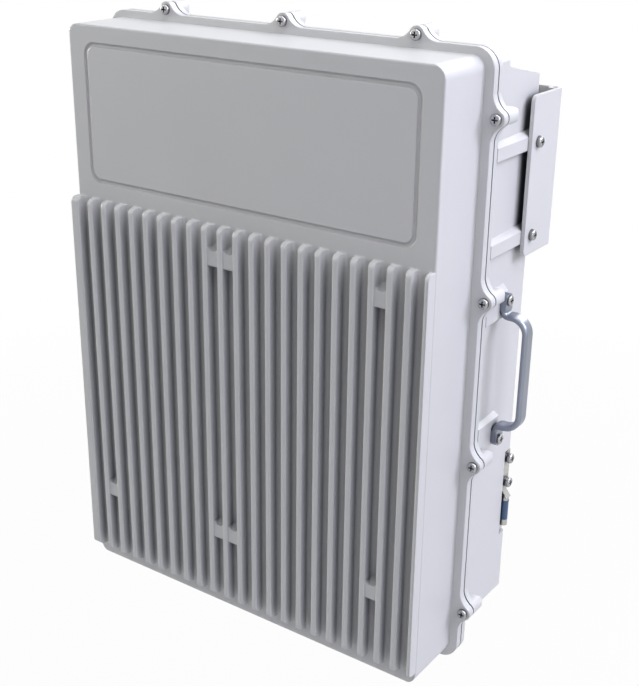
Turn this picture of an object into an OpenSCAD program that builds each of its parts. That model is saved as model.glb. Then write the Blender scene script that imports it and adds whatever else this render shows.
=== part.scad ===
// Outdoor equipment enclosure: a finned cast cover screwed to a cast rear housing.
// It hangs from a folded bracket. The front faces -Y, +X is the viewer's right and +Z is up.
// The origin is the centre of the bracket's bolt pattern, on the face that meets the wall.

/* [Cover] */
// Width of the front cover across its side walls
cover_w = 336; // [310:1:370]
// Height of the front cover
cover_h = 474; // [455:1:510]
// Depth from the sealing face to the plain front face
cover_depth = 59.7; // [52:0.1:75]
// Corner radius of the cover seen from the front
cover_r = 10; // [7:0.5:14]
// Radius along the edge of the front face
cover_edge_r = 1.4; // [0.8:0.1:2]
// Wall thickness of both castings
wall = 4; // [3.4:0.1:4.6]
// Thickness of the cover's front
front_t = 6; // [5:0.1:8]

/* [Fins] */
// Distance from one fin to the next
fin_pitch = 15; // [13:0.1:17]
// Height of a fin above the plain face
fin_h = 9.2; // [8:0.1:14]
// Thickness of a fin at its tip
fin_tip = 5; // [4.2:0.1:5.4]
// Thickness of a fin at its root
fin_root = 6.4; // [5.8:0.1:7]
// Rounding of a fin's long tip edges
fin_tip_r = 1.3; // [0.8:0.1:1.6]
// Fillet between a fin and the face
fin_root_r = 2.6; // [1.5:0.1:3]
// Rounding of the front corners at a fin's two ends
fin_end_r = 5; // [3:0.1:7]
// Drop from the cover's top to the fins' upper ends
fin_drop = 136.8; // [125:0.1:150]
// Rise from the cover's bottom to the fins' lower ends
fin_rise = 11.5; // [10.5:0.1:16]
// Sideways shift of the row of fins from the middle
fin_shift = 2.3; // [0:0.1:3]
// How far the bridges between fins lie behind the fin tips
bridge_set = 1.6; // [0.8:0.1:3]
// Height of a bridge's flat front at its middle
bridge_h = 12; // [8:0.5:18]
// Drop from the fins' upper ends to the flat front of the upper bridges
bridge_drop = 19; // [14:0.5:28]
// Rise from the fins' lower ends to the lower bridges
bridge_rise = 57; // [45:0.5:70]

/* [Plain field] */
// Width of the engraved outline
field_w = 301; // [270:1:305]
// Height of the engraved outline
field_h = 107.4; // [90:0.1:109]
// Drop from the cover's top to the outline
field_drop = 14.8; // [12:0.1:18]
// Corner radius of the outline
field_r = 9; // [6:0.5:14]
// Width of the engraved line
groove_w = 2.6; // [1.5:0.1:3.5]
// Depth of the engraved line
groove_depth = 0.8; // [0.4:0.1:1.2]

/* [Flanges] */
// Reach of the flange beyond the cover's sides
flange_side = 6.8; // [6:0.1:9]
// Reach of the flange beyond the cover's top and bottom
flange_end = 5.4; // [5:0.1:9]
// Thickness of the cover's flange
flange_t = 6.3; // [5.6:0.1:8]
// Thickness of the housing's flange
rear_flange_t = 5; // [4:0.1:7]
// Corner radius of the flanges
flange_r = 15; // [13:0.5:18]
// Radius of a screw ear
ear_r = 6; // [5.4:0.1:7]
// Distance of an ear's centre beyond the flange's edge
ear_out = 3.7; // [3:0.1:4.5]
// Radius of the hollow blend beside an ear
ear_blend_r = 16; // [12:0.5:19]
// Distance between ears on a side
ear_pitch_side = 130.7; // [124:0.1:136]
// Distance between ears on the top and bottom
ear_pitch_end = 114; // [100:0.5:122]
// Compressed thickness of the seal
seal_t = 1.4; // [1:0.1:2]
// How far the seal's edge lies inside the flanges' edge
seal_inset = 1.1; // [0.6:0.1:1.6]

/* [Housing] */
// How far the housing's sides stand outside the cover's sides, behind the flange
housing_step = 3.5; // [2:0.1:5]
// How far each side has leaned in at the housing's rear
housing_draft = 1.8; // [1:0.1:3]
// Depth from the sealing face to the housing's rear
housing_depth = 79; // [74:0.5:95]
// Corner radius of the housing seen from the front
housing_r = 12; // [9:0.5:14]
// Depth of the tall rim behind the flange
rim_depth = 24; // [22:0.5:30]
// Height of the rim above the cover's top
rim_rise = 1; // [0.4:0.1:2]
// Step down from the rim to the roof
roof_step = 11.5; // [9:0.1:15]
// Fall of the roof towards the rear
roof_fall = 11.5; // [8:0.1:16]
// Rise of the housing's floor above the cover's bottom
floor_rise = 17; // [14:0.5:20]
// Rounding of the rear edges of the sides
rear_edge_r = 4; // [3:0.1:6]
// Rounding of the rear edge of the floor
floor_edge_r = 12; // [9:0.5:16]
// Rounding of the rear edges of the rim, roof and bosses
crown_r = 4.5; // [3:0.1:5]
// Length of a screw boss behind the housing's flange
boss_len = 11; // [10.5:0.5:16]
// Height of the low ribs on the housing's rear
rear_rib_h = 2.5; // [1.5:0.1:4]
// Width of the low ribs on the housing's rear
rear_rib_w = 5; // [4:0.1:8]

/* [Bracket] */
// Thickness of the bracket's sheet
bracket_t = 3; // [2.5:0.1:4]
// Height of the bracket
bracket_h = 119; // [114:0.5:130]
// Depth of the bracket's side plates
bracket_depth = 48; // [44:0.5:60]
// Drop from the cover's top to the bracket's top
bracket_drop = 33.7; // [28:0.1:38]
// Clear gap between the housing's rear and the bracket's rear plate
bracket_gap = 19.5; // [14:0.5:26]
// Rounding of the side plates' free corners
bracket_r = 5; // [3:0.5:8]
// Inside radius of the folds
fold_r = 2; // [1:0.1:3]
// Depth of the lip folded forward along the top
lip_depth = 9; // [6:0.5:10]
// Distance of the lip's ends from the side plates
lip_relief = 16; // [10:0.5:25]
// Drop from the bracket's top to its upper side screws
bracket_screw_drop = 34; // [30:0.5:40]
// Distance between the two side screws
bracket_screw_pitch = 70; // [66:0.5:72]
// Setback of the side screws from the side plates' front edge
bracket_screw_back = 10.5; // [9:0.5:16]
// Reach of the ribs that carry the bracket beyond the housing's sides
rib_out = 3.7; // [3:0.1:5]
// Height of those ribs' outer faces
rib_h = 9.6; // [8.6:0.1:12]
// Chamfer along the ribs' upper edges
rib_edge = 1.7; // [1:0.1:2.2]
// Rise of the slope from that chamfer back to the housing's side
rib_slope = 2.5; // [1:0.1:4]
// Sideways distance between the wall bolts
wall_bolt_x = 240; // [200:5:280]
// Upright distance between the wall bolts
wall_bolt_z = 80; // [60:5:90]
// Diameter of the holes for the wall bolts
wall_bolt_d = 9; // [7:0.5:11]

/* [Handles] */
// Distance between a handle's two screws
handle_pitch = 113.6; // [111:0.1:120]
// Width of the flat bar
handle_w = 11; // [10:0.1:11.4]
// Thickness of the flat bar
handle_t = 4.8; // [4.4:0.1:5.6]
// Rounding of the bar's long edges
handle_edge_r = 1.9; // [1:0.1:2.1]
// Reach of the bar's middle line beyond its pads
handle_reach = 21.2; // [19.4:0.1:26]
// Bend radius of the bar's middle line at the grip
handle_bend_r = 12; // [9:0.5:13.5]
// Inside radius of the fold at a foot
handle_fold_r = 1.6; // [1:0.1:2]
// Distance from a foot's screw to the middle of its arm
handle_step = 12; // [10.5:0.1:14]
// Distance of the handle behind the sealing face
handle_back = 32.5; // [29.5:0.5:36]

/* [Fasteners] */
// Thread diameter of the cover, bracket and handle screws
screw_d = 4; // [3.8:0.1:4.4]
// Diameter of their pan heads
head_d = 8.2; // [7.4:0.1:8.6]
// Height of their pan heads
head_h = 2.8; // [2.2:0.1:3.4]
// Play of a screw in its clearance hole, across the diameter
hole_play = 0.5; // [0.3:0.05:0.8]
// Play of a screw in its threaded hole, across the diameter
thread_play = 0.1; // [0.04:0.02:0.2]
// Depth to which a screw reaches into its threaded hole
thread_depth = 7; // [6:0.5:7.5]
// Diameter of the washers under the bracket's screws
washer_d = 8.8; // [8.4:0.1:9.6]
// Thickness of those washers
washer_t = 0.8; // [0.6:0.1:1]

/* [Ground lug] */
// Depth of the pocket for the lug in the housing's side
pocket_in = 3; // [2.4:0.1:4]
// Reach of the pocket forward from the housing's rear
pocket_reach = 11.5; // [11:0.1:14]
// Height of the pocket
pocket_h = 77; // [74:0.5:84]
// Drop from the cover's middle to the pocket's top
pocket_drop = 86; // [80:0.5:92]
// Width of the lug's tongue
lug_w = 10.6; // [10:0.1:10.9]
// Thickness of the lug's tongue
lug_t = 2.4; // [1.8:0.1:3]
// Outside diameter of the lug's barrel
barrel_d = 6.8; // [6.2:0.1:7.6]
// Bore of the lug's barrel
barrel_bore = 4.6; // [3.8:0.1:5]
// Length of the lug's barrel
barrel_len = 26; // [22:0.5:28]
// Distance between the lug's two bolts
lug_pitch = 21.8; // [19:0.1:24]
// Distance from the pocket's top to the upper bolt
lug_bolt_drop = 7.4; // [6.6:0.1:10]

/* [Entries] */
// Distance between the two radio connectors
connector_pitch = 60; // [50:1:80]
// Distance of the entries behind the sealing face
entry_back = 42; // [36:0.5:46]
// Side of a connector's square flange
connector_flange = 25.4; // [24:0.1:28]
// Outside diameter of a connector's thread
connector_d = 15.8; // [15:0.1:16.5]
// Length of a connector below the floor
connector_len = 20; // [16:0.5:24]
// Diameter of the gland's threaded neck
gland_d = 20; // [18:0.5:22]
// Bore of the gland for the cable
gland_bore = 10; // [8:0.5:11]
// Distance of the gland and the breather from the middle
gland_x = 95; // [85:1:110]

/* [Inner modules] */
// Width of the power amplifier
amp_w = 220; // [180:1:240]
// Height of the power amplifier
amp_h = 160; // [140:1:180]
// Thickness of the power amplifier
amp_t = 26; // [20:0.5:32]
// Thickness of the thermal pad
pad_t = 0.6; // [0.3:0.05:1]
// Height of the cavity filter
filter_h = 150; // [120:1:156]
// Thickness of the cavity filter
filter_t = 42; // [30:0.5:48]
// Thickness of the power supply
supply_t = 36; // [28:0.5:44]
// Space between the board's ends and the outside of the housing's sides
board_side_gap = 19.7; // [16:0.1:40]
// Height of the main board
board_h = 180; // [150:1:190]
// Thickness of the main board
board_t = 1.6; // [1:0.1:2.4]
// Length of the board's standoffs
standoff_len = 12; // [8:0.5:16]

/* [Hidden] */
$fn = 64;

// Overrun of cuts past a face, and lap of joined shapes
lap = 0.2;

// Colours
paint = [0.80, 0.80, 0.82];
steel = [0.70, 0.71, 0.73];
satin = [0.62, 0.64, 0.70];
black = [0.10, 0.10, 0.11];
brass = [0.78, 0.66, 0.36];
tin = [0.82, 0.82, 0.80];
green = [0.10, 0.34, 0.22];
milled = [0.74, 0.75, 0.76];

// Places in the case frame: the cover's middle in X and Z, the sealing face at Y = 0
top_z = cover_h / 2;
bottom_z = -cover_h / 2;
face_y = -cover_depth;
inner_face_y = face_y + front_t;
rear_y = housing_depth;
inner_rear_y = rear_y - wall;
shelf_y = seal_t + rear_flange_t;
fin_top_z = top_z - fin_drop;
fin_low_z = bottom_z + fin_rise;
flange_x = cover_w / 2 + flange_side;
flange_z = cover_h / 2 + flange_end;
ear_x = flange_x + ear_out;
ear_z = flange_z + ear_out;
rim_z = top_z + rim_rise;
roof_z = rim_z - roof_step;
floor_z = bottom_z + floor_rise;
bracket_back_y = rear_y + bracket_gap + bracket_t;
bracket_top_z = top_z - bracket_drop;
bracket_low_z = bracket_top_z - bracket_h;
mount_z = bracket_top_z - bracket_h / 2;
housing_w = cover_w + 2 * housing_step;
housing_rear_w = housing_w - 2 * housing_draft;
rib_x = housing_w / 2 + rib_out;
bracket_x = rib_x + bracket_t;
bracket_front_y = bracket_back_y - bracket_depth;

// The row of fins
fin_count = floor((cover_w - 2 * fin_shift) / fin_pitch) + 1;
fin_first_x = fin_shift - (fin_count - 1) * fin_pitch / 2;
fin_last_x = fin_first_x + (fin_count - 1) * fin_pitch;
fin_lean = atan((fin_root - fin_tip) / 2 / (fin_h - fin_tip_r));

// Angle at which a fin's root fillet meets its flank and the face
fin_cross = 10;

// Gaps that hold a bridge, as shares of the row's length
bridge_upper_shares = [0.41, 0.455, 0.864];
bridge_lower_shares = [0.045, 0.41, 0.455, 0.864];

// Radius of a bridge's hollow top, as a share of its height above the face, and the steps it is made in
bridge_hollow_share = 1.15;
bridge_steps = 6;

// A bridge's upper corners: their circle's radius as a share of half the gap between fins, and their depth
// as a share of the bridge's height above the face
bridge_corner_share = 1.12;
bridge_depth_share = 0.58;

// An ear's blend: its circle crosses the flange's edge at a small angle and dips a little into the ear
ear_cross = 8;
ear_dip_share = 0.005;
ear_dip = (ear_blend_r + ear_r) * ear_dip_share;
ear_blend_out = ear_blend_r * cos(ear_cross);
ear_run = sqrt(pow(ear_blend_r + ear_r - ear_dip, 2) - pow(ear_blend_out - ear_out, 2));

// Reach of the corners' round beyond the housing's sides, as a share of its radius
housing_corner_share = 0.05;

// Steps in which the housing's rear edges are rounded
rear_edge_steps = 4;

// Rows of ears on the sides and ends, in pitches from the middle
side_row_shares = [-1.5, -0.5, 0.5, 1.5];
end_row_shares = [-1, 0, 1];

// Cross recess in a screw head, as shares of the head's diameter and height
recess_span_share = 0.56;
recess_width_share = 0.14;
recess_depth_share = 0.6;
head_edge_share = 0.48;

// Height of the handle screws' low heads, as a share of the pan heads' height
low_head_share = 0.7;

// Part of a rib's outer face that lies below its screw
rib_low_share = 0.56;

// Height of a plain screw's head, as a share of its thread's diameter
plain_head_share = 0.7;

// Screws and their holes
screw_r = screw_d / 2;
clear_r = (screw_d + hole_play) / 2;
tapped_r = (screw_d + thread_play) / 2;
cover_screw_len = flange_t + seal_t + rear_flange_t + thread_depth;
drill_depth = thread_depth + screw_r / 2;

// The bracket's two side screws
bracket_screw_y = bracket_front_y + bracket_screw_back;
bracket_screw_top = bracket_top_z - bracket_screw_drop;
bracket_screw_zs = [bracket_screw_top, bracket_screw_top - bracket_screw_pitch];

// The handles: pads, feet and the bar's line
handle_pad_x = rib_x;
handle_screw_zs = [handle_pitch / 2, -handle_pitch / 2];
handle_bar_x = handle_pad_x + handle_reach;
handle_arm_z = handle_pitch / 2 - handle_step;
foot_x = handle_pad_x + handle_t / 2;
foot_fold_r = handle_fold_r + handle_t / 2;
foot_low = handle_arm_z + foot_fold_r;
handle_pad_low_zs = [handle_arm_z - handle_t / 2, handle_arm_z - handle_w * 0.68];
handle_pad_high = handle_pitch / 2 + handle_w;
handle_pad_y = handle_back + handle_w * 0.6;
handle_pad_slope = handle_w * 0.57;
handle_pad_edge = handle_w * 0.3;

// The ground lug and its bolts
pocket_top_z = -pocket_drop;
pocket_x = housing_rear_w / 2 - pocket_in;
pocket_front_y = rear_y - pocket_reach;
lug_y = pocket_front_y + lug_w / 2 + hole_play;
lug_bolt_d = screw_d * 1.2;
lug_head_d = lug_bolt_d * 1.75;
lug_head_h = lug_bolt_d * 0.6;
lug_washer_d = lug_bolt_d * 1.7;
lug_washer_t = lug_bolt_d * 0.18;
lug_spring_t = lug_bolt_d * 0.26;
lug_spring_d = lug_washer_d * 0.92;
lug_spring_split = lug_bolt_d * 0.14;
lug_bolt_zs = [pocket_top_z - lug_bolt_drop, pocket_top_z - lug_bolt_drop - lug_pitch];
lug_tongue_low = lug_bolt_zs[1] - lug_w * 0.75;
lug_neck = lug_w * 0.55;
lug_end = lug_w * 0.55;
barrel_x = pocket_x + barrel_d / 2;
barrel_top_z = lug_tongue_low - lug_neck;
barrel_bore_len = barrel_len * 0.9;
barrel_peep_d = barrel_bore / 2;
barrel_peep_z = barrel_top_z - barrel_len * 0.12;
lug_stack = lug_t + lug_washer_t + lug_spring_t;
ground_boss_in = thread_depth * 1.5;

// Entries under the floor
connector_xs = [-connector_pitch / 2, connector_pitch / 2];
connector_plate_t = connector_flange * 0.1;
connector_bore = connector_d * 0.62;
connector_screw_d = connector_flange * 0.12;
connector_screw_pitch = connector_flange * 0.72;
connector_screw_grip = wall * 0.7;
connector_tapped = wall * 0.8;
spigot = wall * 0.9;
pin_reach = connector_len * 0.8;
pin_d = connector_bore * 0.3;
gland_hex_d = gland_d * 1.35;
gland_hex_t = gland_d * 0.3;
gland_neck_len = gland_d * 0.5;
gland_inside = gland_d * 0.2;
gland_nut_len = gland_d * 0.75;
gland_wall = gland_d * 0.12;
gland_nut_grip = gland_neck_len * 0.9;
breather_d = gland_d * 0.6;
breather_cap_t = gland_d * 0.3;

// Inner modules: places and fasteners, and the filter's share of the bay's width
filter_share = 0.65;
inner_screw_d = screw_d * 0.8;
inner_clear_r = (inner_screw_d + hole_play) / 2;
inner_tapped_r = (inner_screw_d + thread_play) / 2;
inner_grip = wall * 0.7;
tab_t = wall * 0.75;
tab_w = inner_screw_d * 3;
module_gap = wall;
amp_z = fin_low_z + (fin_top_z - fin_low_z) / 2;
amp_screw_x = amp_w / 2 - tab_w;
amp_screw_z = amp_h / 2 - tab_w;
amp_front_y = inner_face_y + pad_t + amp_t;
bay_low_z = floor_z + 2 * wall + module_gap;
bay_z = bay_low_z + filter_h / 2;
bay_left_x = -housing_rear_w / 2 + 2 * wall + tab_w;
bay_right_x = pocket_x - ground_boss_in - wall - tab_w;
filter_w = (bay_right_x - bay_left_x - 2 * tab_w - module_gap) * filter_share;
supply_w = (bay_right_x - bay_left_x - 2 * tab_w - module_gap) * (1 - filter_share);
filter_x = bay_left_x + filter_w / 2;
supply_x = bay_right_x - supply_w / 2;
filter_y = inner_rear_y - filter_t;
supply_y = inner_rear_y - supply_t;
lid_t = wall * 0.5;
board_z = bay_low_z + filter_h + 2 * module_gap + board_h / 2;
board_y = inner_rear_y - standoff_len - board_t;
board_w = housing_rear_w - 2 * board_side_gap;
board_edge = inner_screw_d * 1.5;
standoff_d = inner_screw_d * 1.9;
standoff_tapped = standoff_len * 0.8;
can_w = board_w * 0.36;
can_h = board_h * 0.4;
can_t = standoff_len * 0.6;
can_wall = board_t / 2;

// Unit vector along v
function unit(v) = v / norm(v);

// Directions from corner i of an outline to its two neighbours
function back(p, i) = unit(p[(i + len(p) - 1) % len(p)] - p[i]);
function ahead(p, i) = unit(p[(i + 1) % len(p)] - p[i]);
function half_angle(p, i) = acos(back(p, i) * ahead(p, i)) / 2;
function is_convex(p, i) = cross(ahead(p, i), back(p, i)) > 0;
function arc_centre(p, i, r) = p[i] + unit(back(p, i) + ahead(p, i)) * r / sin(half_angle(p, i));
function corner_cut(p, i, r) = r == 0 ? [p[i]]
    : [p[i] + back(p, i) * r / tan(half_angle(p, i)), p[i] + ahead(p, i) * r / tan(half_angle(p, i))];

// Outline, anticlockwise, whose corners have the given radii
module rounded_polygon(p, radii) {
    difference() {
        union() {
            polygon([for (i = [0 : len(p) - 1]) each corner_cut(p, i, radii[i])]);
            for (i = [0 : len(p) - 1])
                if (radii[i] > 0 && is_convex(p, i)) translate(arc_centre(p, i, radii[i])) circle(radii[i]);
        }
        for (i = [0 : len(p) - 1])
            if (radii[i] > 0 && !is_convex(p, i)) translate(arc_centre(p, i, radii[i])) circle(radii[i]);
    }
}

// Rectangle about the origin with round corners
module rounded_rect(w, h, r) {
    rounded_polygon([[-w / 2, -h / 2], [w / 2, -h / 2], [w / 2, h / 2], [-w / 2, h / 2]], [r, r, r, r]);
}

// Outline in X and Z, carried along Y
module along_y(from, to) {
    translate([0, to, 0]) rotate([90, 0, 0]) linear_extrude(to - from) children();
}

// Outline in Y and Z, carried along X
module along_x(from, to) {
    translate([from, 0, 0]) rotate([90, 0, 90]) linear_extrude(to - from) children();
}

// Outline in X and Y, carried along Z
module along_z(from, to) {
    translate([0, 0, from]) linear_extrude(to - from) children();
}

// The case frame, hung from the bracket's bolt pattern
module in_case() {
    translate([0, -bracket_back_y, -mount_z]) children();
}

// A right-hand piece and its mirror image
module both_sides() {
    children();
    mirror([1, 0, 0]) children();
}

// Round plug along +Z with a rounded rim at its far end
module rounded_plug(r, h, edge) {
    rotate_extrude() {
        square([r - edge, h]);
        square([r, h - edge]);
        translate([r - edge, h - edge]) circle(edge);
    }
}

// Pan-head screw: the head rises along +Z, the shank goes down
module pan_screw(d, len, head_d, head_h) {
    edge = head_h * head_edge_share;
    span = head_d * recess_span_share;
    slot = head_d * recess_width_share;
    difference() {
        rotate_extrude() {
            square([head_d / 2 - edge, head_h]);
            square([head_d / 2, head_h - edge]);
            translate([head_d / 2 - edge, head_h - edge]) circle(edge);
            translate([0, -len]) square([d / 2, len + lap]);
        }
        translate([0, 0, head_h * (1 - recess_depth_share)]) linear_extrude(head_h) {
            square([span, slot], center = true);
            square([slot, span], center = true);
        }
    }
}

// Plain screw with a flat head, for places out of sight
module plain_screw(d, len) {
    rotate_extrude() {
        square([d, d * plain_head_share]);
        translate([0, -len]) square([d / 2, len + lap]);
    }
}

// Flat ring along +Z
module ring(d, bore, t) {
    difference() {
        cylinder(d = d, h = t);
        translate([0, 0, -lap]) cylinder(d = bore, h = t + 2 * lap);
    }
}

// Turns +Z to face the front, the rear or the right
module facing_front() { rotate([90, 0, 0]) children(); }
module facing_rear() { rotate([-90, 0, 0]) children(); }
module facing_right() { rotate([0, 90, 0]) children(); }

// Places of the ears, seen from the front: [x, z, turn]
ears = [
    for (s = side_row_shares) [flange_x, s * ear_pitch_side, 0],
    for (s = side_row_shares) [-flange_x, s * ear_pitch_side, 180],
    for (s = end_row_shares) [s * ear_pitch_end, flange_z, 90],
    for (s = end_row_shares) [s * ear_pitch_end, -flange_z, -90]
];

// Children at each ear's screw
module at_ears(y) {
    for (e = ears)
        translate([e[0] + ear_out * cos(e[2]), y, e[1] + ear_out * sin(e[2])]) children();
}

// Ear on an edge along Y, reaching out along X, drawn back by inset all round
module ear(inset) {
    blend = [ear_blend_out, ear_run];
    middle = [ear_out, 0];
    meet = middle + (ear_r - inset - ear_dip / 2) * unit(blend - middle);
    difference() {
        polygon([[-ear_r, -ear_run], [-inset, -ear_run], [meet[0], -meet[1]],
            meet, [-inset, ear_run], [-ear_r, ear_run]]);
        for (side = [-1, 1])
            translate([blend[0], side * blend[1]]) circle(ear_blend_r + inset);
    }
    translate(middle) circle(ear_r - inset);
}

// Outline of the flanges with their ears
module flange_outline(inset) {
    rounded_rect(2 * (flange_x - inset), 2 * (flange_z - inset), flange_r - inset);
    for (e = ears)
        translate([e[0], e[1]]) rotate(e[2]) ear(inset);
}

// Opening of the cover behind its flange
module cover_opening() {
    rounded_rect(cover_w - 2 * wall, cover_h - 2 * wall, cover_r - wall / 2);
}

// Section of a fin: x across, y out of the face
module fin_section() {
    flat = fin_tip / 2 - fin_tip_r;
    near = fin_root_r * cos(fin_cross);
    hollow = [fin_root / 2 - near * tan(fin_lean) + near / cos(fin_lean), near];
    touch = hollow - near * [cos(fin_lean), sin(fin_lean)];
    polygon([[-fin_root / 2, -lap], [fin_root / 2, -lap], [fin_root / 2, 0], [fin_tip / 2, fin_h - fin_tip_r],
        [flat, fin_h], [-flat, fin_h], [-fin_tip / 2, fin_h - fin_tip_r], [-fin_root / 2, 0]]);
    for (side = [0, 1])
        mirror([side, 0]) {
            translate([flat, fin_h - fin_tip_r]) circle(fin_tip_r);
            difference() {
                polygon([[0, -lap], [hollow[0], -lap], [hollow[0], 0], touch, [0, touch[1]]]);
                translate(hollow) circle(fin_root_r);
            }
        }
}

// Section of the row of fins, with the outer fins joined to the cover's side walls
module fin_row_section() {
    for (i = [0 : fin_count - 1])
        translate([fin_first_x + i * fin_pitch, 0]) fin_section();
    translate([-cover_w / 2, -lap]) square([fin_first_x + cover_w / 2, fin_h + lap]);
    translate([fin_last_x, -lap]) square([cover_w / 2 - fin_last_x + lap, fin_h + lap]);
}

// Side view of the row of fins, with round front corners
module fin_side() {
    tip_y = face_y - fin_h;
    rounded_polygon([[tip_y, fin_low_z], [face_y + lap, fin_low_z],
        [face_y + lap, fin_top_z], [tip_y, fin_top_z]],
        [fin_end_r, 0, 0, fin_end_r]);
}

// Bridge in the gap after a fin: flat front, square foot, hollow top and hollow upper corners
module bridge(share, low_z) {
    x = fin_first_x + round(share * (fin_count - 1)) * fin_pitch;
    reach = fin_h - bridge_set;
    r = reach * bridge_hollow_share;
    sweep = 90 - acos(reach / r);
    hollow = [for (i = [0 : bridge_steps])
        [face_y - reach, low_z + bridge_h + r]
            + r * [sin(i * sweep / bridge_steps), -cos(i * sweep / bridge_steps)]];
    half = (fin_pitch - fin_tip) / 2;
    corner_r = half * bridge_corner_share;
    lift = sqrt(corner_r * corner_r - half * half);
    along_x(x + fin_tip / 4, x + fin_pitch - fin_tip / 4)
        polygon(concat([[face_y - reach, low_z]], hollow,
            [[face_y + 2 * lap, hollow[bridge_steps][1]], [face_y + 2 * lap, low_z]]));
    translate([x + fin_pitch / 2, 0, low_z + bridge_h])
        along_y(face_y - reach, face_y - reach * (1 - bridge_depth_share)) difference() {
            translate([-half - fin_tip / 4, -2 * lap]) square([2 * half + fin_tip / 2, corner_r - lift + lap]);
            translate([0, corner_r - lap]) circle(corner_r);
        }
}

// Cover's outer block with a small radius along the edges of its front face
module cover_block() {
    e = cover_edge_r;
    w = cover_w / 2;
    intersection() {
        along_y(face_y, 0) rounded_rect(cover_w, cover_h, cover_r);
        along_x(-w, w)
            rounded_polygon([[face_y, bottom_z], [0, bottom_z], [0, top_z], [face_y, top_z]], [e, 0, 0, e]);
        along_z(bottom_z, top_z) rounded_polygon([[-w, face_y], [w, face_y], [w, 0], [-w, 0]], [e, e, 0, 0]);
    }
}

// Engraved line round the plain field
module field_groove() {
    translate([0, 0, top_z - field_drop - field_h / 2])
        along_y(face_y - lap, face_y + groove_depth)
            difference() {
                rounded_rect(field_w + groove_w, field_h + groove_w, field_r + groove_w / 2);
                rounded_rect(field_w - groove_w, field_h - groove_w, field_r - groove_w / 2);
            }
}

// Places of the amplifier's screws
module at_amplifier_screws(y) {
    for (sx = [-1, 1], sz = [-1, 1])
        translate([sx * amp_screw_x, y, amp_z + sz * amp_screw_z]) children();
}

// Cast front cover: finned face, plain field, side walls and flange with ears
module front_cover() {
    color(paint) in_case() difference() {
        union() {
            cover_block();
            along_y(-flange_t, 0) flange_outline(0);
            intersection() {
                along_z(fin_low_z, fin_top_z) translate([0, face_y]) mirror([0, 1]) fin_row_section();
                along_x(-cover_w / 2, cover_w / 2) fin_side();
            }
            for (share = bridge_upper_shares) bridge(share, fin_top_z - bridge_drop - bridge_h);
            for (share = bridge_lower_shares) bridge(share, fin_low_z + bridge_rise);
        }
        along_y(inner_face_y, lap) cover_opening();
        field_groove();
        at_ears(lap) facing_front() cylinder(r = clear_r, h = flange_t + 2 * lap);
        at_amplifier_screws(inner_face_y + lap)
            facing_front() cylinder(r = inner_tapped_r, h = inner_grip + 2 * lap);
    }
}

// Side view of the housing, drawn in by inset
module housing_side(inset, front_y) {
    p = [[front_y, floor_z + inset], [rear_y - inset, floor_z + inset],
        [rear_y - inset, roof_z - roof_fall - inset],
        [rim_depth - inset, roof_z - inset], [rim_depth - inset, rim_z - inset], [front_y, rim_z - inset]];
    rounded_polygon(p, [0, floor_edge_r - inset, crown_r - inset / 2, crown_r / 2, crown_r - inset / 2, 0]);
}

// Plan of the housing, drawn in by inset: the rear edges are rounded in small steps
module housing_plan(inset, front_y) {
    w = housing_w / 2 - inset;
    rear_w = housing_rear_w / 2 - inset;
    r = rear_edge_r - inset / 2;
    half = [for (i = [0 : rear_edge_steps])
        [rear_w - r, rear_y - inset - r] + r * [cos(i * 90 / rear_edge_steps), sin(i * 90 / rear_edge_steps)]];
    polygon(concat([[w, front_y]], half,
        [for (i = [rear_edge_steps : -1 : 0]) [-half[i][0], half[i][1]]], [[-w, front_y]]));
}

// Front view of the housing, drawn in by inset
module housing_front(inset) {
    h = rim_z - floor_z;
    w = housing_w + 2 * housing_r * housing_corner_share;
    translate([0, floor_z + h / 2]) rounded_rect(w - 2 * inset, h - 2 * inset, housing_r - inset / 2);
}

// The housing's form, drawn in by inset
module housing_form(inset, front_y) {
    intersection() {
        along_x(-housing_w, housing_w) housing_side(inset, front_y);
        along_z(bottom_z, rim_z) housing_plan(inset, front_y);
        along_y(front_y, rear_y) housing_front(inset);
    }
}

// Screw boss behind an ear, with its web back to the wall and a rounded rear end
module boss(web) {
    half = ear_r + lap;
    intersection() {
        along_y(0, boss_len) {
            circle(ear_r);
            translate([-web, -ear_r]) square([web, 2 * ear_r]);
        }
        along_x(-web, half)
            rounded_polygon([[0, -half], [boss_len, -half], [boss_len, half], [0, half]],
                [0, crown_r, crown_r, 0]);
        along_z(-half, half)
            rounded_polygon([[-web, 0], [half, 0], [half, boss_len], [-web, boss_len]], [0, 0, crown_r, 0]);
    }
}

// All bosses: the web of each reaches the wall that carries it
module bosses() {
    side_web = ear_x - housing_rear_w / 2 + wall / 2;
    for (e = ears)
        translate([e[0] + ear_out * cos(e[2]), shelf_y, e[1] + ear_out * sin(e[2])])
            rotate([0, -e[2], 0])
                boss(e[2] == 90 ? ear_z - rim_z + wall / 2
                    : e[2] == -90 ? ear_z + floor_z + wall / 2 : side_web);
}

// Section of a rib that carries the bracket: square foot, chamfered top that slopes back to the wall
module rib_section() {
    inner_x = housing_rear_w / 2 - wall / 2;
    low_z = -rib_h * rib_low_share;
    edge_z = low_z + rib_h + rib_edge;
    polygon([[inner_x, low_z], [rib_x, low_z], [rib_x, low_z + rib_h], [rib_x - rib_edge, edge_z],
        [housing_rear_w / 2, edge_z + rib_slope], [inner_x, edge_z + rib_slope]]);
}

// Section of a pad that carries an upper foot: its low edge is chamfered by edge, its top slopes to the wall
module pad_section(low_z, edge) {
    inner_x = housing_rear_w / 2 - wall / 2;
    polygon([[inner_x, low_z], [housing_rear_w / 2, low_z], [handle_pad_x, low_z + edge],
        [handle_pad_x, handle_pad_high - handle_pad_slope], [housing_rear_w / 2, handle_pad_high],
        [inner_x, handle_pad_high]]);
}

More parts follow.
